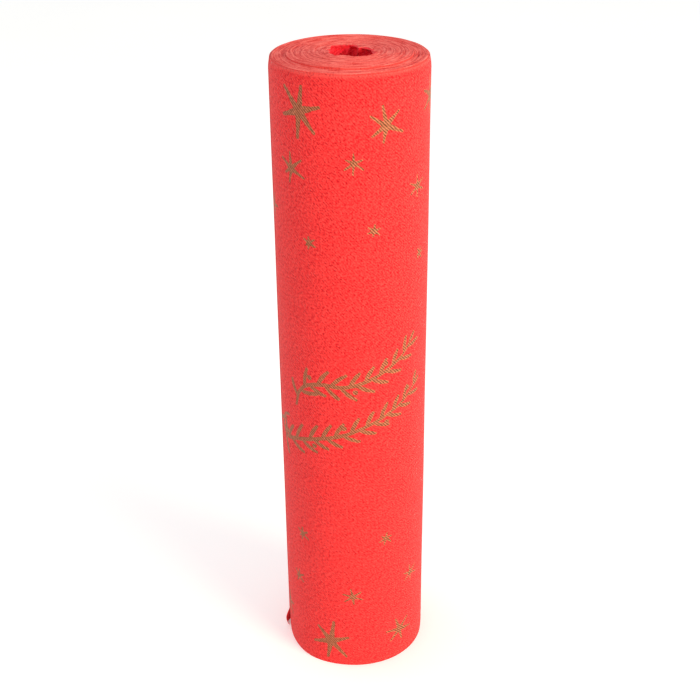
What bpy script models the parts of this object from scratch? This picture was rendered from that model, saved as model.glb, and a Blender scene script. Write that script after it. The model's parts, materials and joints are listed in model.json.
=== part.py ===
"""A coreless roll of wrapping web: nested groups of turns, and an outermost turn that unrolls.

The frame is in metres with +Z up. The roll stands on z = 0 with its axis on Z, and -Y is its front.
Angles are in degrees about +Z from +X. Seen from above the web is wound anticlockwise going outwards.
"""

import math

import bmesh
import bpy
from mathutils import Vector

# Driving dimensions
WEB_WIDTH = 0.400  # width of the web, which is the height of every turn
ROLL_RADIUS = 0.0457  # outside of the outermost turn
SHEET = 0.0003  # thickness of one turn where it is modelled on its own
GAP = 0.0003  # clearance between neighbouring pieces
FACET = 5.0  # degrees of arc for one flat facet

# Groups of turns from the outside in: (name, outer radius / roll radius, height above the outer turns)
GROUPS = (
    ("outer_turns", None, 0.0),
    ("middle_turns", 0.79, 0.0004),
    ("inner_turns", 0.64, 0.0007),
    ("core_turns", 0.50, 0.0010),
)
CENTRE_RADIUS = 0.36 * ROLL_RADIUS  # outside of the crumpled centre turns
CENTRE_RISE = 0.0014  # the crumpled centre turns stand highest
BORE_RADIUS = 0.0122  # mean radius of the open bore
BORE_FACET = 6.0

# The outermost turn: its fixed stretch, and the free stretch that unrolls strip by strip
FREE_EDGE = 183.5  # angle of the free end of the web
STRIP_ARC = 15.0
STRIPS = 16
FREE_ROOT = FREE_EDGE - STRIPS * STRIP_ARC  # angle where the free stretch starts

# The dog-eared lower corner of the free end
CORNER_HEIGHT = 0.015  # where its crease meets the free edge
CORNER_WIDTH = 0.009  # where its crease meets the lower edge
CORNER_FLARE = 0.0026  # how far its edge bulges out from the roll
CORNER_FLARE_AT = 0.4  # height of the largest bulge, as a share of CORNER_HEIGHT
CORNER_TIP = 0.93  # the corner's thin point at the lower edge is blunted to this share of its width
CORNER_FACET = 2.1  # degrees of arc between the corner's columns
CORNER_ROWS = 5
CREASE_RADIUS = ROLL_RADIUS + GAP / 2.0  # the crease's axis lies just outside the web, so it folds flat

RED = (0.84, 0.075, 0.065, 1.0)
DEEP_RED = (0.62, 0.012, 0.020, 1.0)


def clear_scene():
    for obj in list(bpy.data.objects):
        bpy.data.objects.remove(obj, do_unlink=True)


def web_material(name, colour):
    material = bpy.data.materials.new(name)
    material.use_nodes = True
    surface = material.node_tree.nodes["Principled BSDF"]
    surface.inputs["Base Color"].default_value = colour
    surface.inputs["Roughness"].default_value = 0.9
    surface.inputs["Metallic"].default_value = 0.0
    return material


def polar(angle, radius, z):
    """The point at an angle in degrees, a radius and a height."""
    a = math.radians(angle)
    return Vector((radius * math.cos(a), radius * math.sin(a), z))


def arc_length_angle(length, radius):
    return math.degrees(length / radius)


def make_object(name, mesh_builder, material, origin=Vector((0.0, 0.0, 0.0))):
    """Link one object, with its origin on its joint's axis where it has one."""
    bm = bmesh.new()
    mesh_builder(bm)
    bmesh.ops.translate(bm, verts=bm.verts, vec=-origin)
    mesh = bpy.data.meshes.new(name)
    bm.to_mesh(mesh)
    bm.free()
    mesh.materials.append(material)
    mesh.shade_smooth()
    mesh.set_sharp_from_angle(angle=math.radians(30.0))
    obj = bpy.data.objects.new(name, mesh)
    obj.location = origin
    bpy.context.collection.objects.link(obj)
    return obj


def tube(bm, outer_radius, inner_radius, low, step):
    """A closed tube of web height. Each radius is a function of the angle."""
    count = round(360.0 / step)
    rings = []
    for radius, z in (
        (outer_radius, low),
        (outer_radius, low + WEB_WIDTH),
        (inner_radius, low + WEB_WIDTH),
        (inner_radius, low),
    ):
        rings.append([bm.verts.new(polar(i * step, radius(i * step), z)) for i in range(count)])
    for ring, after in zip(rings, rings[1:] + rings[:1]):
        for i in range(count):
            j = (i + 1) % count
            bm.faces.new((ring[i], ring[j], after[j], after[i]))


def sheet(bm, columns, rows=1, lift=None):
    """A closed sheet one turn thick, wrapped at the roll's radius.

    columns holds (angle, low z, high z) from one side to the other; lift(angle, z) moves a point out.
    """
    skins = []
    for radius in (ROLL_RADIUS, ROLL_RADIUS - SHEET):
        skin = []
        for angle, low, high in columns:
            heights = [low + (high - low) * k / rows for k in range(rows + 1)]
            extra = [lift(angle, z) if lift else 0.0 for z in heights]
            skin.append([bm.verts.new(polar(angle, radius + e, z)) for z, e in zip(heights, extra)])
        skins.append(skin)
    outer, inner = skins
    last = len(columns) - 1
    for i in range(last):
        for k in range(rows):
            bm.faces.new((outer[i][k], outer[i + 1][k], outer[i + 1][k + 1], outer[i][k + 1]))
            bm.faces.new((inner[i][k + 1], inner[i + 1][k + 1], inner[i + 1][k], inner[i][k]))
        bm.faces.new((inner[i][0], inner[i + 1][0], outer[i + 1][0], outer[i][0]))
        bm.faces.new((outer[i][rows], outer[i + 1][rows], inner[i + 1][rows], inner[i][rows]))
    for k in range(rows):
        bm.faces.new((inner[0][k], outer[0][k], outer[0][k + 1], inner[0][k + 1]))
        bm.faces.new((outer[last][k], inner[last][k], inner[last][k + 1], outer[last][k + 1]))


def arc_angles(start, end, step):
    count = max(1, round((end - start) / step))
    return [start + (end - start) * i / count for i in range(count + 1)]


def turn_groups(material):
    """The nested groups of turns. The outermost one leaves room for the turn that is modelled alone."""
    radii = [ROLL_RADIUS - SHEET - GAP] + [ROLL_RADIUS * share for _, share, _ in GROUPS[1:]]
    bores = [r + GAP for r in radii[1:]] + [CENTRE_RADIUS + GAP]
    for (name, _, rise), outer, inner in zip(GROUPS, radii, bores):
        make_object(
            name,
            lambda bm, o=outer, i=inner, z=rise: tube(bm, lambda a: o, lambda a: i, z, FACET),
            material,
        )


def bore_radius(angle):
    """The bore's crumpled outline: low waves, and one fold that leans in from the back right."""
    waves = 0.0005 * math.sin(math.radians(3.0 * angle + 40.0))
    waves += 0.0003 * math.sin(math.radians(7.0 * angle))
    from_fold = (angle - 50.0 + 180.0) % 360.0 - 180.0
    fold = 0.0034 * math.exp(-((from_fold / 17.0) ** 2))
    return BORE_RADIUS + waves - fold


def crumpled_centre(material):
    make_object(
        "crumpled_centre_turns",
        lambda bm: tube(bm, lambda a: CENTRE_RADIUS, bore_radius, CENTRE_RISE, BORE_FACET),
        material,
    )


def hinge_line(index):
    """A point on the vertical line between strip index - 1 and strip index, in the sheet's middle."""
    return polar(FREE_ROOT + index * STRIP_ARC, ROLL_RADIUS - SHEET / 2.0, 0.0)


def fixed_turn(material):
    half_gap = arc_length_angle(GAP / 2.0, ROLL_RADIUS)
    angles = arc_angles(FREE_EDGE - 360.0 + half_gap, FREE_ROOT - half_gap, FACET)
    columns = [(a, 0.0, WEB_WIDTH) for a in angles]
    make_object("fixed_outer_turn", lambda bm: sheet(bm, columns), material)


def free_strips(material):
    """The strips of the free stretch. The last one has its lower corner cut off along the crease."""
    half_gap = arc_length_angle(GAP / 2.0, ROLL_RADIUS)
    for k in range(STRIPS - 1):
        start = FREE_ROOT + k * STRIP_ARC
        angles = arc_angles(start + half_gap, start + STRIP_ARC - half_gap, FACET)
        columns = [(a, 0.0, WEB_WIDTH) for a in angles]
        make_object(
            f"free_turn_{k + 1:02d}",
            lambda bm, c=columns: sheet(bm, c),
            material,
            hinge_line(k),
        )
    start = FREE_EDGE - STRIP_ARC
    columns = [(start + half_gap, 0.0, WEB_WIDTH)]
    for angle in arc_angles(FREE_EDGE - arc_length_angle(CORNER_WIDTH, ROLL_RADIUS), FREE_EDGE, FACET):
        columns.append((angle, crease_height(angle) + GAP, WEB_WIDTH))
    columns[1] = (columns[1][0] - half_gap, 0.0, WEB_WIDTH)
    make_object("tail_strip", lambda bm: sheet(bm, columns), material, hinge_line(STRIPS - 1))


def crease_height(angle):
    """Height of the corner's crease, which rises from the lower edge to the free edge."""
    from_edge = math.radians(FREE_EDGE - angle) * ROLL_RADIUS
    return CORNER_HEIGHT * (1.0 - from_edge / CORNER_WIDTH)


def corner_lift(angle, z):
    """How far the curled corner stands out: nothing at the crease, most at the free edge."""
    across = 1.0 - math.radians(FREE_EDGE - angle) * ROLL_RADIUS / CORNER_WIDTH
    up = z / CORNER_HEIGHT
    below = math.sin(0.5 * math.pi * (up + 0.25) / (CORNER_FLARE_AT + 0.25))
    above = math.cos(0.5 * math.pi * (up - CORNER_FLARE_AT) / (1.0 - CORNER_FLARE_AT))
    profile = below if up < CORNER_FLARE_AT else above
    return CORNER_FLARE * max(profile, 0.0) * across**1.5


def tail_corner(material):
    start = FREE_EDGE - arc_length_angle(CORNER_WIDTH * CORNER_TIP, ROLL_RADIUS)
    columns = [(a, 0.0, crease_height(a) - GAP) for a in arc_angles(start, FREE_EDGE, CORNER_FACET)]
    crease_foot = polar(FREE_EDGE - arc_length_angle(CORNER_WIDTH, ROLL_RADIUS), CREASE_RADIUS, 0.0)
    make_object(
        "tail_corner",
        lambda bm: sheet(bm, columns, CORNER_ROWS, corner_lift),
        material,
        crease_foot,
    )


def main():
    clear_scene()
    web = web_material("red_web", RED)
    shaded = web_material("deep_red_web", DEEP_RED)
    turn_groups(web)
    crumpled_centre(shaded)
    fixed_turn(web)
    free_strips(web)
    tail_corner(web)


main()
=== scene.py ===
"""The looks of a coreless roll of printed wrapping web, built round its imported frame.

Everything is in metres, +Z up, with -Y the front. Angles are in degrees about +Z from +X. A place on the web
is (turn, height): turn is its unwrapped angle, which is the free edge's angle at the free edge and 360 less
at each turn in.
"""

import json
import math

import bpy
import numpy as np
from mathutils import Matrix, Vector, geometry


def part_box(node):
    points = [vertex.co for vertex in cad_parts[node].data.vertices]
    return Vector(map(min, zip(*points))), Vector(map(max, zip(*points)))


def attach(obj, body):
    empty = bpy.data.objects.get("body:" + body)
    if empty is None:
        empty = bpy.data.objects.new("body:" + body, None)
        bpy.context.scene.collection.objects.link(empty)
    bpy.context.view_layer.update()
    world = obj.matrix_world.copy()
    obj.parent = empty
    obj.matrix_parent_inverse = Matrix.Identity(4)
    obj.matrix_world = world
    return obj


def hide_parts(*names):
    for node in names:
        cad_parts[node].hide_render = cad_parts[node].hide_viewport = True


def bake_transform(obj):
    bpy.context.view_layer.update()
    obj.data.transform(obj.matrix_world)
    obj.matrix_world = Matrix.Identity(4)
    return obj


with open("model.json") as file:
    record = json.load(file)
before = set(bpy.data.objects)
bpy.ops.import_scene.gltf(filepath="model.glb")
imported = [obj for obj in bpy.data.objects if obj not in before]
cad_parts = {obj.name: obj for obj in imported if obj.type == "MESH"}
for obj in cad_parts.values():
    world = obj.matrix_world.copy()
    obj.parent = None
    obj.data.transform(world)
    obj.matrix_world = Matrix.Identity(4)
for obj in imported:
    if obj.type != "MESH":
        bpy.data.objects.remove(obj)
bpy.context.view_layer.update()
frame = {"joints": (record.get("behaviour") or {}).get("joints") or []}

MM = 0.001

# The frame's own sizes
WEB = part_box("outer_turns")[1][2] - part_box("outer_turns")[0][2]
RADIUS = -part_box("fixed_outer_turn")[0][1]
HINGES = [j for j in frame["joints"] if j["name"].startswith("unroll")]


def angle_of(point):
    return math.degrees(math.atan2(point[1], point[0]))


ROOT = angle_of(HINGES[0]["pos_m"])
STRIP_ARC = angle_of(HINGES[1]["pos_m"]) - ROOT
HALF_STRIP = STRIP_ARC / 2
FREE_EDGE = ROOT + STRIP_ARC * len(HINGES)
TAIL_ROOT = FREE_EDGE - 12.5  # where the last piece round a hinge meets the tail
ALONG = RADIUS * math.pi / 180.0  # metres of web for one degree of turn

# The web
THICK = 0.34 * MM
TURN_STEP = 0.40 * MM  # how much the outermost turns step in for one turn
COLUMN = 1.25  # degrees between columns of the mesh
ROW = 12.0 * MM
EDGE_ROWS = (0.0, 1.2 * MM, 2.6 * MM, 4.2 * MM, 7.0 * MM)
UNDULATION = 0.16 * MM
FOOT_DRAW = 0.25 * MM
RIM_DRAW = 1.0 * MM
PROUD = 0.1 * MM
FOOT_FLARE = 1.3 * MM
FOOT_FLARE_AT, FOOT_FLARE_ARC = -130.0, 21.0  # turn it is centred on, and how far it reaches either way
FOOT_FLARE_HEIGHT = 26 * MM
BACK_RISE = 0.75 * MM  # how much higher the web's upper edge stands at the back

# The nested groups of turns, from the outside in
SHEET_START = ROOT - HALF_STRIP - 370.0  # the turn where the outer sheet starts, innermost
CLEARANCE = 0.06 * MM  # between the sheet and the turns wound inside it
RIM_SAG = 1.2 * MM  # how far the sheet's upper edge can hang below true
GROUPS = {  # node: (body, gap round it at its ends)
    "outer_turns": ("wound_roll", 0.0),
    "middle_turns": ("middle", 0.30 * MM),
    "inner_turns": ("inner", 0.0),
    "core_turns": ("core", 0.0),
    "crumpled_centre_turns": ("centre", 0.0),
}
GROUP_OUTSIDES = {node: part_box(node)[1][0] for node in GROUPS}
WALL_GAP = 0.02 * MM  # left between neighbouring groups, on each side
PITCH = 0.5 * MM
RIDGE = 0.16 * MM
STEP_AT = 35.9 * MM  # radius where the end face steps down to the outermost turns
STEP = 0.85 * MM
GROOVES = (  # (radius, depth, half width), all mm
    (38.6, 0.55, 0.45), (37.4, -0.22, 0.5), (34.0, 0.25, 0.5), (31.4, 0.22, 0.5), (28.6, 0.18, 0.5),
)
FOOT_SHARE = 0.7  # the lower end face is the upper one's shape, this much as deep
DOME = 1.5 * MM  # how much the middle of the end face stands above its rim
DOME_POWER = 4.0
RIM_DROP = 0.9 * MM
RIM_WIDTH = 3.2 * MM
BORE = 11.7 * MM

# The loose corner
CORNER_WIDTH = 9.0 * MM
CORNER_HEIGHT = 15.0 * MM
CORNER_FLARE = 2.6 * MM
CREASE_BAND = 1.2 * MM  # width of the strip of web across the corner's crease
CREASE_REACH = CORNER_WIDTH * CORNER_HEIGHT / math.hypot(CORNER_WIDTH, CORNER_HEIGHT)


# ---------------------------------------------------------------- small maths


LATTICE_SIZE = 64
LATTICES = {}


def lattice(seed):
    return np.random.RandomState(seed).rand(LATTICE_SIZE, LATTICE_SIZE) * 2.0 - 1.0


def noise2(x, y, seed):
    """Smooth noise between -1 and 1, repeating every LATTICE_SIZE units each way."""
    grid = LATTICES.setdefault(seed, lattice(seed))
    x, y = np.asarray(x, float), np.asarray(y, float)
    xi, yi = np.floor(x).astype(int), np.floor(y).astype(int)
    fx, fy = x - xi, y - yi
    fx, fy = fx * fx * (3 - 2 * fx), fy * fy * (3 - 2 * fy)
    x0, x1 = xi % LATTICE_SIZE, (xi + 1) % LATTICE_SIZE
    y0, y1 = yi % LATTICE_SIZE, (yi + 1) % LATTICE_SIZE
    a, b, c, d = grid[x0, y0], grid[x1, y0], grid[x0, y1], grid[x1, y1]
    return (a * (1 - fx) + b * fx) * (1 - fy) + (c * (1 - fx) + d * fx) * fy


def ring_noise(angle, y, seed, cells):
    """Noise that closes on itself round the roll, with `cells` cells to a turn."""
    share = (np.asarray(angle, float) / 360.0) % 1.0
    return noise2(share * cells, y, seed) * (1 - share) + noise2((share - 1.0) * cells, y, seed) * share


def smooth(low, high, x):
    t = np.clip((np.asarray(x, float) - low) / (high - low), 0.0, 1.0)
    return t * t * (3 - 2 * t)


def polar(angle, radius, z):
    a = np.radians(angle)
    return np.stack([radius * np.cos(a), radius * np.sin(a), np.broadcast_to(z, np.shape(a))], -1)


# ---------------------------------------------------------------- meshes


def make_piece(name, points, faces, materials, face_material, web_uv, sharp=35.0):
    """One mesh object. web_uv is a place in metres for each vertex, or for each corner of each face."""
    mesh = bpy.data.meshes.new(name)
    mesh.from_pydata([tuple(p) for p in points], [], faces)
    for material in materials:
        mesh.materials.append(material)
    mesh.polygons.foreach_set("material_index", np.asarray(face_material, dtype=np.int32))
    web_uv = np.asarray(web_uv, dtype=np.float32)
    if len(web_uv) == len(points):
        corner = np.zeros(len(mesh.loops), dtype=np.int32)
        mesh.loops.foreach_get("vertex_index", corner)
        web_uv = web_uv[corner]
    mesh.uv_layers.new(name="web").data.foreach_set("uv", web_uv.ravel())
    mesh.validate()
    mesh.shade_smooth()
    mesh.set_sharp_from_angle(angle=math.radians(sharp))
    obj = bpy.data.objects.new(name, mesh)
    bpy.context.scene.collection.objects.link(obj)
    return obj


# ---------------------------------------------------------------- the printed design


def star(centre, size, arms, turned, rng):
    """A hand-drawn star: a solid middle and arms at (angle, share of the size) with blunt, worn ends."""
    width = max(0.68 * MM, 0.088 * size)
    ordered = sorted(((a + turned) % 360.0, share) for a, share in arms)
    outline = []
    for (angle, share), after in zip(ordered, ordered[1:] + ordered[:1]):
        a = math.radians(angle)
        along = np.array([math.cos(a), math.sin(a)])
        side = np.array([-along[1], along[0]])
        for out, half in ((0.6, -1.0), (0.95, -0.72), (1.0, -0.4), (1.0, 0.4), (0.95, 0.72), (0.6, 1.0)):
            outline.append(along * share * size * out + side * width * half)
        gap = math.radians((after[0] - angle) % 360.0)
        notch = max(0.27 * size, 1.25 * width / math.sin(gap / 2.0))
        middle = a + gap / 2.0
        outline.append(np.array([math.cos(middle), math.sin(middle)]) * notch)
    return roughen([np.asarray(centre) + p for p in outline], rng)


def stroke(points, widths, rng):
    """The outline of a pen stroke through points, with a half width at each."""
    points = [np.asarray(p, float) for p in points]
    left, right = [], []
    for i, p in enumerate(points):
        ahead = points[min(i + 1, len(points) - 1)] - points[max(i - 1, 0)]
        ahead = ahead / np.linalg.norm(ahead)
        side = np.array([-ahead[1], ahead[0]]) * widths[i]
        left.append(p + side)
        right.append(p - side)
    return roughen(left + right[::-1], rng)


def roughen(outline, rng, step=0.8 * MM, amount=0.17 * MM):
    """Breaks an outline into short lengths and moves each point a little, as ink does on a soft web."""
    out = []
    for p, q in zip(outline, outline[1:] + outline[:1]):
        count = max(1, int(np.linalg.norm(q - p) / step))
        out += [p + (q - p) * k / count for k in range(count)]
    return [p + rng.uniform(-amount, amount, 2) for p in out]


STAR_SHAPES = (
    ((15, 0.95), (82, 1.0), (132, 1.15), (198, 0.93), (265, 1.08), (311, 1.05)),
    ((335, 1.1), (42, 1.0), (100, 1.05), (147, 1.0), (214, 0.9), (261, 0.9)),
    ((22, 0.9), (91, 0.95), (155, 0.85), (215, 1.1), (265, 1.1), (326, 1.15)),
    ((38, 1.1), (95, 1.05), (150, 1.05), (214, 0.7), (259, 0.95), (337, 1.15)),
    ((28, 1.0), (94, 1.0), (155, 1.05), (208, 1.0), (268, 0.9), (333, 1.05)),
    ((19, 0.90), (82, 1.13), (135, 0.94), (198, 0.92), (261, 0.98), (312, 1.12)),
)
# Stars on the front half: (degrees right of the front, height mm, size mm, shape, turned)
FRONT_STARS = (
    (-38, 378, 14.8, 0, 0), (25, 371, 11.3, 1, 0), (77, 379, 12.0, 4, 0), (2, 351, 6.2, 2, 0),
    (-47, 344, 9.4, 3, 0), (55, 331, 7.3, 4, 0), (-79, 315, 8.0, 1, 30), (16, 311, 4.2, 4, 350),
    (-32, 302, 4.2, 3, 0), (59, 289, 4.0, 3, 330), (-47, 97, 5.2, 3, 0), (26, 100, 4.8, 2, 350),
    (-54, 61, 5.2, 3, 350), (53, 63, 6.9, 4, 5), (-2, 57, 6.8, 4, 8), (-77, 28, 9.5, 0, 0),
    (-21, 19, 14.8, 5, 0), (40, 22, 10.6, 4, 15),
)
FRONT = -90.0  # the turn that faces the front
STAR_SIZES = (13.0, 10.5, 8.5, 7.0, 5.8, 5.0, 4.4)  # mm
STAR_REACH = 1.35  # how far a star keeps others off, as a share of its size
STEM_POINTS = 60
BERRY_STALK = 5.0 * MM
BERRY_RADIUS = 1.7 * MM
LEAF_SPACING = 5.0 * MM
SPRIG_BAND = (130 * MM, 268 * MM)


def along_curve(points, count):
    """Points on a smooth curve through a few control points, and the share along it."""
    control = np.asarray(points, float)
    control = np.vstack([2 * control[0] - control[1], control, 2 * control[-1] - control[-2]])
    out = []
    for i in range(count):
        t = i / (count - 1) * (len(points) - 1)
        k = min(int(t), len(points) - 2)
        f = t - k
        a, b, c, d = control[k : k + 4]
        out.append(
            0.5 * (2 * b + (c - a) * f + (2 * a - 5 * b + 4 * c - d) * f**2 + (3 * b - a - 3 * c + d) * f**3)
        )
    return out


def leaf(root, heading, lean, length, rng):
    """A needle-shaped leaf that bends back towards the way its stem runs."""
    steps = 8
    points = [np.asarray(root, float)]
    for step in range(1, steps + 1):
        a = heading + lean * (1.0 - 0.4 * step / steps)
        points.append(points[-1] + np.array([math.cos(a), math.sin(a)]) * length / steps)
    halves = [(0.6 + 0.8 * math.sin(math.pi * (0.10 + 0.80 * k / steps))) * MM for k in range(steps + 1)]
    return stroke(points, halves, rng)


def berry(centre, radius, rng):
    around = np.linspace(0, 2 * math.pi, 14, endpoint=False)
    return roughen([centre + np.array([math.cos(a), math.sin(a)]) * radius for a in around], rng)


def sprig(start, control, spacing, rng):
    """A fir sprig: a curved stem, leaves on either side by turns, shorter to the tip, and a few berries."""
    origin = np.asarray(start, float)
    stem = [origin + p * MM for p in along_curve(control, STEM_POINTS)]
    shares = [k / (STEM_POINTS - 1) for k in range(STEM_POINTS)]
    halves = [(0.7 + 0.65 * math.sin(math.pi * min(1.0, 0.12 + 0.9 * s))) * MM for s in shares]
    shapes = [stroke(stem, halves, rng)]
    walked = np.concatenate([[0.0], np.cumsum([np.linalg.norm(q - p) for p, q in zip(stem, stem[1:])])])
    side, at, number = 1, 7.0 * MM, 0
    while at < walked[-1] - 2 * MM:
        k = min(int(np.searchsorted(walked, at)), STEM_POINTS - 2)
        ahead = stem[k + 1] - stem[k]
        heading, share = math.atan2(ahead[1], ahead[0]), at / walked[-1]
        lean = math.radians(60.0 - 12.0 * share) * side
        length = (14.5 - 4.5 * share) * MM * (0.92 + 0.16 * rng.rand()) * min(1.0, 0.6 + at / (30 * MM))
        shapes.append(leaf(stem[k], heading, lean, length, rng))
        if number % 5 == 3:
            out = heading - lean * 1.15
            beside = stem[k] + np.array([math.cos(out), math.sin(out)]) * BERRY_STALK
            shapes.append(berry(beside, BERRY_RADIUS, rng))
        side, at, number = -side, at + spacing, number + 1
    shapes.append(leaf(stem[-2], heading, 0.0, 7 * MM, rng))
    return shapes


# Stems, in mm from where each starts, with a hook at the start and then rising to the right
UPPER_STEM = ((0, 0), (3, 10), (10, 17), (21, 20), (35, 20), (49, 24), (62, 30), (73, 37), (79, 44))
LOWER_STEM = (
    (9, 4), (2, 1), (-1, -7), (5, -13), (18, -9), (36, -3), (52, 2), (66, 8), (79, 14), (91, 20), (102, 28),
)


def pair_of_sprigs(turn):
    """Two sprigs that rise to the right, round the front of the roll when turn is the front's."""
    rng = np.random.RandomState(71)
    upper = (turn - 50.0) * ALONG, 192 * MM
    lower = (turn - 72.0) * ALONG, 177 * MM
    return sprig(upper, UPPER_STEM, LEAF_SPACING, rng) + sprig(lower, LOWER_STEM, LEAF_SPACING, rng)


def scattered_stars(low_turn, high_turn, placed, seed):
    """Stars for the parts of the web that turn away, kept clear of each other and of the sprigs' band."""
    rng = np.random.RandomState(seed)
    shapes = []
    for size in STAR_SIZES * 5:
        for _ in range(60):
            x = rng.uniform(low_turn, high_turn) * ALONG
            z = rng.uniform(12 * MM, WEB - 12 * MM)
            reach = size * MM * STAR_REACH
            if SPRIG_BAND[0] - reach < z < SPRIG_BAND[1] + reach:
                continue
            if any(math.hypot(x - px, z - pz) < reach + pr + 9 * MM for px, pz, pr in placed):
                continue
            placed.append((x, z, reach))
            shape = STAR_SHAPES[rng.randint(len(STAR_SHAPES))]
            shapes.append(star((x, z), size * MM, shape, rng.uniform(-25, 25), rng))
            break
    return shapes


def printed_shapes():
    rng = np.random.RandomState(5)
    shapes, placed = [], []
    for right, z, size, kind, turned in FRONT_STARS:
        centre = ((right + FRONT) * ALONG, z * MM)
        placed.append((*centre, size * MM * STAR_REACH))
        shapes.append(star(centre, size * MM, STAR_SHAPES[kind], turned, rng))
    for turned in (0.0, -375.0, 188.0):
        shapes += pair_of_sprigs(FRONT + turned)
    shapes += scattered_stars(0.0, FREE_EDGE - 6.0, placed, 11)
    shapes += scattered_stars(ROOT - 372.0, FREE_EDGE - 366.0, placed, 23)
    return shapes


SHAPES = printed_shapes()


# ---------------------------------------------------------------- the sheets


def undulation(angle, z):
    """The web's slow waves round the roll. Every turn shares them, so the turns stay nested."""
    return UNDULATION * ring_noise(angle, np.asarray(z) / (60 * MM) + 7.0, 3, 7)


def soft_ends(z):
    """The web draws in a little towards both of its cut edges, where nothing holds it out."""
    z = np.asarray(z)
    return -FOOT_DRAW * (1.0 - smooth(0.0, 4 * MM, z)) - RIM_DRAW * smooth(WEB - 7 * MM, WEB + 3 * MM, z)


def foot_flare(turn, z):
    """The web stands off a little at its foot, short of the free edge that laps over it."""
    along = np.exp(-(((turn - FOOT_FLARE_AT) / FOOT_FLARE_ARC) ** 2))
    return FOOT_FLARE * along * (1.0 - smooth(0.0, FOOT_FLARE_HEIGHT, z))


def sheet_radius(turn, z):
    """Radius of the web's outer side."""
    inward = TURN_STEP * (FREE_EDGE - np.asarray(turn)) / 360.0
    return RADIUS + PROUD - inward + undulation(turn, z) + soft_ends(z) + foot_flare(turn, z)


def corner_share(turn, z):
    """1 at the tip of the loose corner, 0 on its crease, negative beyond it."""
    return 1.0 - (FREE_EDGE - turn) * ALONG / CORNER_WIDTH - z / CORNER_HEIGHT


def corner_lift(turn, z):
    """How far the curled corner stands out from the roll."""
    share = np.clip(corner_share(turn, z), 0.0, 1.0)
    rise = np.sin(0.5 * math.pi * np.clip(share / 0.6, 0, 1)) ** 1.3
    curl = 1.0 - 0.75 * np.clip((share - 0.6) / 0.4, 0, 1) ** 2
    across = np.clip(1.0 - (FREE_EDGE - turn) * ALONG / CORNER_WIDTH, 0.0, 1.0)
    return CORNER_FLARE * rise * curl * np.sqrt(across)


def row_heights():
    """Heights of the mesh rows: close near both cut edges, where the web draws in."""
    low, high = EDGE_ROWS[-1], WEB - EDGE_ROWS[-1]
    between = np.linspace(low, high, round((high - low) / ROW) + 1)[1:-1]
    return np.array([*EDGE_ROWS, *between, *(WEB - z for z in reversed(EDGE_ROWS))])


def edge_wander(turn):
    """How far the web's upper edge stands from true at a place along its length."""
    turn = np.asarray(turn, float)
    back = BACK_RISE * np.exp(-(((turn - 105.0) / 75.0) ** 2))
    return back + 0.10 * MM * noise2(turn / 11.0, 2.5, 21) + 0.16 * MM * noise2(turn / 800.0, 9.5, 22)


def within_outline(outline, places):
    """Whether each place is within an outline, by how many times the outline winds round it."""
    p, q = np.asarray(outline), np.roll(outline, -1, axis=0)
    x, y = places[:, :1], places[:, 1:]
    left = (q[:, 0] - p[:, 0]) * (y - p[:, 1]) - (x - p[:, 0]) * (q[:, 1] - p[:, 1])
    up = (p[:, 1] <= y) & (q[:, 1] > y) & (left > 0)
    down = (p[:, 1] > y) & (q[:, 1] <= y) & (left < 0)
    return (up.sum(1) - down.sum(1)) != 0


def triangulate(low, high, lines=()):
    """The web between two turns as triangles cut along the print: (places, triangles, inked)."""
    x0, x1 = low * ALONG, high * ALONG
    columns = max(2, round((high - low) / COLUMN)) + 1
    heights = row_heights()
    points, edges = [], []

    def chain(chain_points, closed=False):
        start = len(points)
        points.extend(Vector((float(p[0]), float(p[1]))) for p in chain_points)
        ids = list(range(start, len(points)))
        edges.extend(zip(ids, ids[1:] + ids[:1] if closed else ids[1:]))

    for x in np.linspace(x0, x1, columns):
        chain([(x, z) for z in heights])
    for z in heights:
        chain([(x, z) for x in np.linspace(x0, x1, columns)])
    for line in lines:
        chain(line)
    printed = [shape for shape in SHAPES if max(p[0] for p in shape) > x0 and min(p[0] for p in shape) < x1]
    for shape in printed:
        chain(shape, closed=True)
    verts, _, triangles, *_ = geometry.delaunay_2d_cdt(points, edges, [], 0, 1e-6)
    places = np.array([(v[0], v[1]) for v in verts])
    triangles = np.array(triangles)
    corners = places[triangles]
    centres = corners.mean(1)
    a, b = corners[:, 1] - corners[:, 0], corners[:, 2] - corners[:, 0]
    solid = np.abs(a[:, 0] * b[:, 1] - a[:, 1] * b[:, 0]) > 1e-13
    kept = solid & (centres[:, 0] > x0) & (centres[:, 0] < x1) & (centres[:, 1] > 0) & (centres[:, 1] < WEB)
    triangles, centres = triangles[kept], centres[kept]
    inked = np.zeros(len(centres), bool)
    for shape in printed:
        low_corner, high_corner = np.min(shape, axis=0), np.max(shape, axis=0)
        near = np.all((centres >= low_corner) & (centres <= high_corner), axis=1)
        inked[near] |= within_outline(shape, centres[near])
    return places, [tuple(t) for t in triangles], list(inked)


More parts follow.
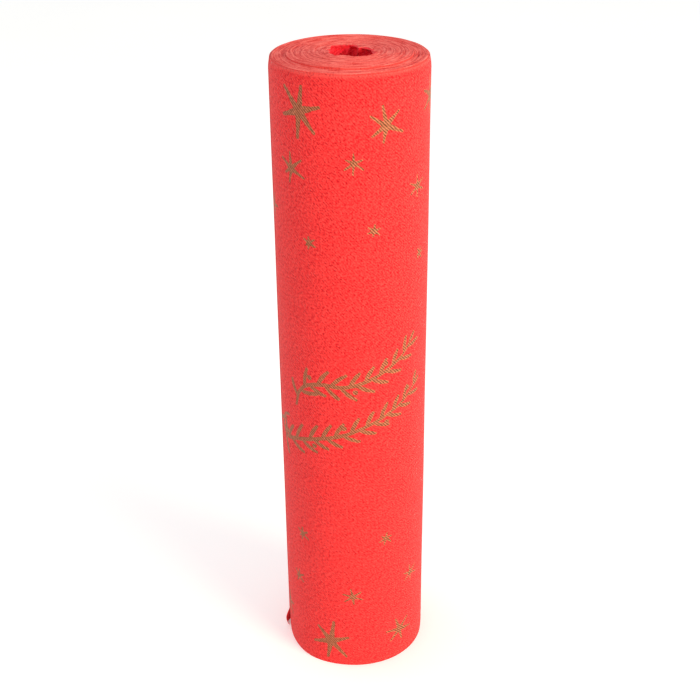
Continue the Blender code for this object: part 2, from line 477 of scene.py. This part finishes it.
def sheet_piece(name, low, high, materials, lines=(), lift=None):
    """A closed length of the web, with its print cut into its outer side.

    materials are the outer side, the ink, the inner side and the cut edges.
    """
    places, triangles, inked = triangulate(low, high, lines)
    used = sorted({i for t in triangles for i in t})
    index = {old: new for new, old in enumerate(used)}
    places = places[used]
    triangles = [tuple(index[i] for i in t) for t in triangles]
    turn, z = places[:, 0] / ALONG, places[:, 1]
    radius = sheet_radius(turn, z)
    if lift is not None:
        radius = radius + lift(turn, z)
    height = z + (edge_wander(turn) - RIM_DROP) * smooth(WEB - EDGE_ROWS[-1], WEB, z)
    count = len(places)
    points = np.vstack([polar(turn, radius, height), polar(turn, radius - THICK, height)])
    uv = np.vstack([places, places])
    faces = list(triangles) + [(a + count, c + count, b + count) for a, b, c in triangles]
    kinds = [1 if ink else 0 for ink in inked] + [2] * len(triangles)
    rim = {}
    for a, b, c in triangles:
        for p, q in ((a, b), (b, c), (c, a)):
            if (q, p) in rim:
                del rim[(q, p)]
            else:
                rim[(p, q)] = True
    for p, q in rim:
        faces.append((q, p, p + count, q + count))
        kinds.append(3)
    return make_piece(name, points, faces, materials, kinds, uv)


def main_sheet(materials):
    """The turn under the free length, and the part of the last turn that stays on the roll."""
    piece = sheet_piece("outer_sheet", SHEET_START, ROOT - HALF_STRIP, materials)
    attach(piece, "wound_roll")
    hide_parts("fixed_outer_turn")
    return piece


def on_sheet(turn, z):
    return Vector(polar(turn, float(sheet_radius(turn, z)) - THICK / 2, z))


def free_sheets(materials):
    """The free length: one piece round each hinge line."""
    pieces = []
    for k, joint in enumerate(HINGES):
        hinge = ROOT + k * STRIP_ARC
        low, high, bend = hinge - HALF_STRIP, hinge + HALF_STRIP, HALF_STRIP - 0.5
        if k == len(HINGES) - 1:
            high, bend = TAIL_ROOT, TAIL_ROOT - hinge - 0.2
        piece = sheet_piece(f"free_sheet_{k + 1:02d}", low, high, materials)
        before = bend if k else 0.0  # none before the first hinge, clear of the turn beneath
        start, end = on_sheet(hinge - before, WEB / 2), on_sheet(hinge + bend, WEB / 2)
        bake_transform(piece)
        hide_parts(joint["child"])
        pieces.append(piece)
    return pieces


def crease_lines():
    """Lines across the loose corner, along its crease, so that it curls evenly."""
    lines = []
    for offset in (-0.7, 0.0, 0.7, 1.6, 2.6, 3.8, 5.2, 6.6):
        share = offset * MM / CREASE_REACH
        foot = FREE_EDGE * ALONG - CORNER_WIDTH * (1.0 - share)
        head = CORNER_HEIGHT * (1.0 - share)
        count = 12
        lines.append([
            (foot + (FREE_EDGE * ALONG - foot) * i / count, head * i / count) for i in range(count + 1)
        ])
    return lines


def tail_sheet(materials):
    """The last of the free length, with the curled corner."""
    piece = sheet_piece("tail_sheet", TAIL_ROOT, FREE_EDGE, materials, lines=crease_lines(), lift=corner_lift)
    middle = (FREE_EDGE * ALONG - CORNER_WIDTH / 2, CORNER_HEIGHT / 2)
    across = Vector((CORNER_HEIGHT, -CORNER_WIDTH)).normalized() * CREASE_BAND / 2
    start = on_sheet((middle[0] - across[0]) / ALONG, middle[1] - across[1])
    end = on_sheet((middle[0] + across[0]) / ALONG, middle[1] + across[1])
    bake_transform(piece)
    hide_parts("tail_strip", "tail_corner")
    return piece


# ---------------------------------------------------------------- the wound turns


def bump_at(angle, centre, width):
    """A bell-shaped bump round the roll, 1 at its centre."""
    away = (np.asarray(angle, float) - centre + 180.0) % 360.0 - 180.0
    return np.exp(-((away / width) ** 2))


def bore_outline(angle):
    """Radius of the centre's lip, which the buckled innermost turns have pushed out of round."""
    pushed = 2.2 * bump_at(angle, 132, 24) + 1.5 * bump_at(angle, 89, 9) + 1.6 * bump_at(angle, -24, 12)
    pushed = pushed + 3.3 * bump_at(angle, -42, 11) + 0.15 * np.sin(np.radians(angle) * 11)
    drawn_in = 3.9 * bump_at(angle, 53, 18) + 1.2 * bump_at(angle, 28, 12) + 1.4 * bump_at(angle, -100, 17)
    return BORE + (pushed - drawn_in) * MM


def bore_wall(angle, depth):
    """Radius of the centre's wall at a depth below the lip, with folds that slant down to the left."""
    slant = np.asarray(angle) - depth / MM * 5.0
    folds = 1.0 - 2.0 * np.abs(ring_noise(slant, depth / (14 * MM), 41, 13))
    creases = 1.0 - 2.0 * np.abs(ring_noise(slant, depth / (9 * MM), 43, 34))
    grown = smooth(0.0, 2.2 * MM, depth)
    radius = bore_outline(angle) - grown * (2.3 * folds + 1.1 * creases - 2.4) * MM
    return np.clip(radius, 6 * MM, 15.6 * MM)


def end_rise(radius, angle):
    """Height of the wound turns' edges over the web's own edge.

    A shallow dome with its rim worn down, a step down to the outermost turns, and turns that stand unevenly.
    """
    share = radius / RADIUS
    dome = DOME * (1.0 - share**DOME_POWER) - RIM_DROP * smooth(RADIUS - RIM_WIDTH, RADIUS, radius) ** 2
    step = -STEP * smooth(STEP_AT, STEP_AT + 0.1 * MM, radius) * (1.0 - smooth(STEP_AT, RADIUS, radius))
    turns = (RADIUS - radius) / PITCH + np.asarray(angle) / 360.0
    uneven = 0.08 * noise2(turns * 1.7, 3.3, 31) + 0.10 * noise2(turns * 0.45, 8.1, 32)
    wander = 0.07 * noise2(turns * 21.0, 5.5, 33)
    for number, (at, depth, half) in enumerate(GROOVES):
        broken = 0.65 + 0.5 * ring_noise(angle, 3.7 + number, 35, 40)
        uneven = uneven - depth * broken * np.exp(-(((radius / MM - at) / half) ** 2))
    return dome + step + (uneven + wander) * MM


def face_profile(turns):
    """Shares of the way in, and dips between turns, along an end face with `turns` turns."""
    ridge = ((0.0, -1.0), (0.16, -0.12), (0.5, 0.0), (0.84, -0.12))
    places = [((turn + share) / turns, dip) for turn in range(turns) for share, dip in ridge]
    places.append((1.0, -1.0))
    return np.array(places).T


def wall_depths(close):
    """Depths below an end down to half way: close together near it if the wall shows there."""
    if not close:
        return np.array([0.0, 1.5, 4.0, 12.0, 40.0, 100.0, 200.0]) * MM
    near = np.cumsum(np.linspace(0.32, 1.9, 18))
    return np.array([0.0, *near, 28.0, 40.0, 60.0, 90.0, 130.0, 170.0, 200.0]) * MM


def wound_group(node, outside, inside, count, materials):
    """A closed ring of wound turns, with a ridge for each turn's edge on both of its end faces.

    outside and inside give its walls' radii for (angle, height).
    """
    body, gap = GROUPS[node]
    angle = np.arange(count)[:, None] * 360.0 / count
    centre = inside is bore_wall_at
    outer_top, inner_top = outside(angle, WEB), inside(angle, WEB)
    turns = max(3, round(float(np.mean(outer_top - inner_top)) / PITCH))
    share, dip = face_profile(turns)

    def end_face(height, direction):
        edge_out = outside(angle, height) - gap
        radius = edge_out - share[None, :] * (edge_out - inside(angle, height))
        rise = end_rise(radius, angle) + dip[None, :] * RIDGE * direction
        return radius, rise

    top_r, top_rise = end_face(WEB, 1.0)
    low_r, low_rise = end_face(0.0, -1.0)
    top_z = WEB + top_rise
    low_z = 0.25 * MM + FOOT_SHARE * (low_rise - low_rise.min())
    loops_r, loops_z = [], []
    for radius_at, first, last, close in (
        (outside, (low_z[:, :1]), (top_z[:, :1]), False),
        (inside, (top_z[:, -1:]), (low_z[:, -1:]), centre),
    ):
        depths = wall_depths(close) / (WEB / 2)
        shares = np.concatenate([depths / 2, 1.0 - depths[-2::-1] / 2])[1:-1]
        z = first + (last - first) * shares[None, :]
        loops_r.append(radius_at(angle, z))
        loops_z.append(z)
    radius = np.hstack([loops_r[0], top_r, loops_r[1], low_r[:, ::-1]])
    z = np.hstack([loops_z[0], top_z, loops_z[1], low_z[:, ::-1]])
    size = radius.shape[1]
    points = polar(np.broadcast_to(angle, radius.shape), radius, z).reshape(-1, 3)
    sections = [1] * (loops_r[0].shape[1]) + [0] * (top_r.shape[1] - 1) + [2] * (loops_r[1].shape[1] + 1)
    sections += [0] * (low_r.shape[1] - 1) + [1]
    faces, kinds = [], []
    for i in range(count):
        j = (i + 1) % count
        for k in range(size):
            m = (k + 1) % size
            faces.append((i * size + k, j * size + k, j * size + m, i * size + m))
            kinds.append(sections[k])
    along = np.radians(np.vstack([angle, [[360.0]]])) * radius.mean(0)[None, :]
    place = np.stack([along, np.vstack([z, z[:1]])], -1)
    after = np.roll(place, -1, axis=1)
    corners = np.stack([place[:-1], place[1:], after[1:], after[:-1]], axis=2)
    piece = make_piece(node + "_web", points, faces, materials, kinds, corners.reshape(-1, 2), sharp=50.0)
    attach(piece, body)
    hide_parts(node)
    return piece


def bore_wall_at(angle, z):
    depth = np.minimum(WEB + DOME - z, z + 0.2 * MM)
    return bore_wall(angle, np.maximum(depth, 0.0))


def pack_radius(angle, z):
    """Radius of the wound turns' outside: just within the outer sheet's innermost turn at each angle.

    Out of sight between the ends it stays clear of the sheet's waves.
    """
    share = (np.asarray(angle) - SHEET_START) % 360.0 / 360.0
    grown = share * (1.0 - smooth(0.94, 0.985, share))
    within = RADIUS + PROUD - THICK - TURN_STEP * ((FREE_EDGE - SHEET_START) / 360.0 - grown)
    drawn = soft_ends(z + RIM_SAG * smooth(WEB - EDGE_ROWS[-1], WEB - RIM_DROP, z))
    hidden = smooth(4 * MM, 12 * MM, z) * (1.0 - smooth(WEB - 12 * MM, WEB - 4 * MM, z))
    return within - CLEARANCE + undulation(angle, z) + drawn - 2 * UNDULATION * hidden


def wound_roll(materials):
    def round_wall(radius):
        return lambda angle, z: np.full(np.broadcast(angle, z).shape, radius)

    nodes = list(GROUPS)
    for node, inner in zip(nodes, nodes[1:] + [None]):
        outside = pack_radius if node == nodes[0] else round_wall(GROUP_OUTSIDES[node] - WALL_GAP)
        inside = round_wall(GROUP_OUTSIDES[inner] + WALL_GAP) if inner else bore_wall_at
        count = 288 if GROUP_OUTSIDES[node] > 0.55 * RADIUS else 224
        wound_group(node, outside, inside, count, materials)


# ---------------------------------------------------------------- materials


class Shader:
    """Builds one material's node tree, node by node."""

    def __init__(self, name):
        self.material = bpy.data.materials.new(name)
        self.material.use_nodes = True
        self.tree = self.material.node_tree
        self.tree.nodes.clear()

    def add(self, kind, inputs=None, **settings):
        node = self.tree.nodes.new("ShaderNode" + kind)
        for key, value in settings.items():
            setattr(node, key, value)
        for key, value in (inputs or {}).items():
            if isinstance(value, bpy.types.NodeSocket):
                self.tree.links.new(value, node.inputs[key])
            else:
                node.inputs[key].default_value = value
        return node

    def math(self, operation, *values, clamp=False):
        return self.add("Math", dict(enumerate(values)), operation=operation, use_clamp=clamp).outputs[0]

    def vector(self, operation, *values):
        return self.add("VectorMath", dict(enumerate(values)), operation=operation).outputs[0]

    def noise(self, place, scale, detail=2.0, roughness=0.55):
        inputs = {"Vector": place, "Scale": scale, "Detail": detail, "Roughness": roughness}
        return self.add("TexNoise", inputs).outputs[0]

    def ramp(self, factor, stops):
        """A colour ramp through (position, colour) stops."""
        node = self.add("ValToRGB", {0: factor})
        elements = node.color_ramp.elements
        elements[0].position, elements[0].color = stops[0][0], (*stops[0][1], 1.0)
        elements[1].position, elements[1].color = stops[-1][0], (*stops[-1][1], 1.0)
        for position, colour in stops[1:-1]:
            elements.new(position).color = (*colour, 1.0)
        return node.outputs[0]

    def finish(self, colour, roughness, height, depth, **more):
        """The surface: colour, roughness and a bump of `depth` metres for a height of 1."""
        bump = self.add("Bump", {"Height": height, "Distance": depth, "Strength": 1.0})
        inputs = {"Base Color": colour, "Roughness": roughness, "Normal": bump.outputs[0]}
        inputs.update({key.replace("_", " "): value for key, value in more.items()})
        surface = self.add("BsdfPrincipled", inputs)
        self.add("OutputMaterial", {"Surface": surface.outputs[0]})
        return self.material


def bands(shader, place, period, turned, distortion):
    """Soft ridges `period` millimetres apart, square to `turned` degrees from the web's length."""
    rotated = shader.add("Mapping", {"Vector": place, "Rotation": (0, 0, math.radians(-turned))}).outputs[0]
    scale = 0.1 * math.pi / period
    inputs = {"Vector": rotated, "Scale": scale, "Distortion": distortion, "Detail Scale": 1.0}
    return shader.add("TexWave", inputs).outputs["Fac"]


def emboss(shader):
    """(place on the web in mm, height of its emboss, fine fibre noise, the emboss's slanting part alone)."""
    web = shader.add("UVMap", uv_map="web").outputs[0]
    place = shader.vector("MULTIPLY", web, (1000.0, 1000.0, 1000.0))
    rows = bands(shader, place, 1.35, 45, 2.0)
    slanted = shader.add("Mapping", {"Vector": place, "Rotation": (0, 0, math.radians(-45))}).outputs[0]
    dashes = shader.noise(shader.vector("MULTIPLY", slanted, (1.05, 0.50, 1.0)), 1.0, 1.0, 0.5)
    pits = shader.noise(place, 1.0, 1.0, 0.5)
    fibres = shader.noise(place, 2.6, 3.0, 0.65)
    uneven = shader.math("MULTIPLY_ADD", dashes, 1.9, shader.math("MULTIPLY", pits, 1.5))
    slant = shader.math("MULTIPLY_ADD", rows, 0.35, shader.math("MULTIPLY", dashes, 0.5))
    height = shader.math("MULTIPLY_ADD", rows, 0.25, shader.math("MULTIPLY_ADD", fibres, 0.35, uneven))
    return place, shader.math("SUBTRACT", height, 1.50), fibres, slant


CLOTH = {"Specular_IOR_Level": 0.15, "Sheen_Weight": 0.14, "Sheen_Roughness": 0.40}
WARM_SHEEN = (1.0, 0.80, 0.76, 1.0)
PALE_SHEEN = (1.0, 0.85, 0.82, 1.0)
# The paler colour of the web's upper edge: its fluff, with a painted highlight on the rounded rim.
FLUFF_AND_RIM_HIGHLIGHT = (0.93, 0.11, 0.095, 1.0)
FLUFF_AND_HIGHLIGHT_BAND = 2.6 * MM  # how far down from its upper edge the web is fluffy and painted paler: fluff with a painted highlight on its rounded rim


def printed_web():
    """The dyed web's outer side."""
    shader = Shader("printed_web")
    place, height, fibres, _ = emboss(shader)
    cloudy = shader.noise(place, 0.06, 3.0)
    # The colour follows the emboss's height: painted shade in its hollows and painted highlight on its
    # ridges, over the dye's own cloudy unevenness.
    tone_and_painted_relief_shading = shader.math("MULTIPLY_ADD", cloudy, 0.25, shader.math("MULTIPLY_ADD", height, 0.85, -0.05))
    colour = shader.ramp(tone_and_painted_relief_shading, [(0.05, (0.62, 0.003, 0.010)), (0.45, (0.87, 0.029, 0.031)),
                                (0.90, (1.0, 0.060, 0.054))])
    up = shader.add("SeparateXYZ", {0: place}).outputs[1]
    limits = {"From Min": (WEB - FLUFF_AND_HIGHLIGHT_BAND) / MM, "From Max": WEB / MM}
    edge = shader.add("MapRange", {0: up, **limits}, interpolation_type="SMOOTHSTEP").outputs[0]
    # Near the upper edge the colour turns paler: the fibres' own fluff and a painted highlight on the rounded
    # rim.
    fluff_and_rim_highlight = shader.math("MULTIPLY", edge, fibres, clamp=True)
    mixed = shader.add("Mix", {0: fluff_and_rim_highlight, 6: colour, 7: FLUFF_AND_RIM_HIGHLIGHT}, data_type="RGBA").outputs[2]
    roughness = shader.math("MULTIPLY_ADD", fibres, 0.2, 0.66)
    return shader.finish(mixed, roughness, height, 0.46 * MM, Sheen_Tint=WARM_SHEEN, **CLOTH)


def printed_ink():
    """The dull gold print, which lies on the emboss and is worn in patches; its colour is painted lighter on
    the emboss's ridges and darker in its hollows, a painted highlight and shade.
    """
    shader = Shader("gold_ink")
    place, height, fibres, slant = emboss(shader)
    worn = shader.noise(place, 0.9, 3.0, 0.7)
    # Lighter where the emboss's slanting ridges stand high: painted highlight on the ridges and painted shade
    # in the hollows, with patches of wear.
    tone_and_painted_relief_shading = shader.math("MULTIPLY_ADD", worn, 0.40, shader.math("MULTIPLY", slant, 0.85))
    colour = shader.ramp(tone_and_painted_relief_shading, [(0.38, (0.15, 0.040, 0.012)), (0.56, (0.35, 0.100, 0.039)),
                                (0.78, (0.68, 0.205, 0.105))])
    roughness = shader.math("MULTIPLY_ADD", fibres, 0.25, 0.42)
    relief = shader.math("MULTIPLY_ADD", slant, 0.8, height)
    return shader.finish(colour, roughness, relief, 0.26 * MM, Metallic=0.15, Specular_IOR_Level=0.25)


def plain_web():
    """The web's inner side, which has no print."""
    shader = Shader("web_inner_side")
    _, height, _, _ = emboss(shader)
    # The colour follows the emboss's height: painted shade in its hollows and painted highlight on its
    # ridges.
    colour = shader.ramp(height, [(0.1, (0.80, 0.006, 0.020)), (0.5, (0.96, 0.022, 0.044)),
                                  (0.95, (1.0, 0.050, 0.070))])
    return shader.finish(colour, 0.8, height, 0.16 * MM, Sheen_Tint=WARM_SHEEN, **CLOTH)


def cut_edges():
    """The fibrous cut edges of the turns, which together make the roll's end faces."""
    shader = Shader("cut_edges")
    place = shader.add("TexCoord").outputs["Object"]
    parts = shader.add("SeparateXYZ", {0: place})
    x, y = parts.outputs[0], parts.outputs[1]
    radius = shader.math("SQRT", shader.math("MULTIPLY_ADD", x, x, shader.math("MULTIPLY", y, y)))
    turn = shader.math("ARCTAN2", y, x)
    ring = shader.add("CombineXYZ", {0: shader.math("MULTIPLY", radius, 1000.0),
                                     1: shader.math("MULTIPLY", turn, 2.5)}).outputs[0]
    rings = shader.noise(ring, 0.95, 2.0, 0.6)
    tufts = shader.noise(shader.vector("MULTIPLY", place, (750.0, 330.0, 750.0)), 1.0, 2.0, 0.6)
    grain = shader.noise(shader.vector("MULTIPLY", place, (1000.0, 1000.0, 1000.0)), 2.2, 3.0, 0.7)
    height = shader.math("MULTIPLY_ADD", rings, 2.4, shader.math("MULTIPLY_ADD", tufts, 0.7, grain))
    # The colour follows the end face's relief: painted shade in its low rings and tufts between the turns'
    # edges, over the fibres' own uneven colour.
    tone_and_painted_relief_shading = shader.math("MULTIPLY_ADD", height, 1.2, -1.90)
    colour = shader.ramp(tone_and_painted_relief_shading, [(0.10, (0.68, 0.032, 0.032)), (0.50, (0.88, 0.094, 0.083)),
                                (0.90, (0.99, 0.200, 0.175))])
    return shader.finish(colour, 0.85, height, 0.20 * MM, Sheen_Tint=PALE_SHEEN, **CLOTH)


# ---------------------------------------------------------------- stage


CAMERA_PLACE = (0.0, -0.7052, 0.5776)
CAMERA_PITCH, CAMERA_YAW, CAMERA_ROLL = 27.28, 0.14, -0.64
LENS = 65.4


def aim(obj, place, target):
    obj.location = place
    obj.rotation_euler = (Vector(target) - Vector(place)).to_track_quat("-Z", "Y").to_euler()


def add_light(name, place, size, power, colour=(1.0, 1.0, 1.0)):
    light = bpy.data.lights.new(name, "AREA")
    light.shape, light.size, light.energy, light.color = "DISK", size, power, colour
    obj = bpy.data.objects.new(name, light)
    bpy.context.scene.collection.objects.link(obj)
    aim(obj, place, (0, 0, WEB / 2))


def add_stage():
    """A pale floor, soft studio light and the camera."""
    mesh = bpy.data.meshes.new("floor")
    far = 12.0
    mesh.from_pydata([(-far, -far, 0), (far, -far, 0), (far, far, 0), (-far, far, 0)], [], [(0, 1, 2, 3)])
    shader = Shader("pale_floor")
    place = shader.add("TexCoord").outputs["Object"]
    grain = shader.noise(place, 3.0, 2.0)
    colour = shader.ramp(grain, [(0.3, (0.93, 0.93, 0.93)), (0.7, (0.95, 0.95, 0.95))])
    glow = {"Emission_Color": (1.0, 1.0, 1.0, 1.0), "Emission_Strength": 0.25}
    mesh.materials.append(shader.finish(colour, 0.9, grain, 0.0, Specular_IOR_Level=0.1, **glow))
    floor = bpy.data.objects.new("floor", mesh)
    bpy.context.scene.collection.objects.link(floor)

    scene = bpy.context.scene
    scene.world = bpy.data.worlds.new("studio")
    scene.world.use_nodes = True
    background = scene.world.node_tree.nodes["Background"]
    background.inputs["Color"].default_value = (1.0, 1.0, 1.0, 1.0)
    background.inputs["Strength"].default_value = 0.73
    scene.view_settings.view_transform = "Standard"

    add_light("key", (1.69, -1.42, 0.81), 1.2, 45.0, (1.0, 0.98, 0.68))
    add_light("fill", (-0.7, 0.3, 1.9), 0.8, 2.5)

    camera = bpy.data.objects.new("camera", bpy.data.cameras.new("camera"))
    scene.collection.objects.link(camera)
    camera.data.lens, camera.data.sensor_width = LENS, 36.0
    turn = Matrix.Rotation(math.radians(CAMERA_YAW), 4, "Z")
    tilt = Matrix.Rotation(math.radians(90.0 - CAMERA_PITCH), 4, "X")
    roll = Matrix.Rotation(math.radians(CAMERA_ROLL), 4, "Z")
    camera.matrix_world = Matrix.Translation(CAMERA_PLACE) @ turn @ tilt @ roll
    scene.camera = camera


def main():
    web, ink, inner, edge = printed_web(), printed_ink(), plain_web(), cut_edges()
    sheet_materials = (web, ink, inner, edge)
    main_sheet(sheet_materials)
    free_sheets(sheet_materials)
    tail_sheet(sheet_materials)
    wound_roll((edge, web, inner))
    add_stage()


main()
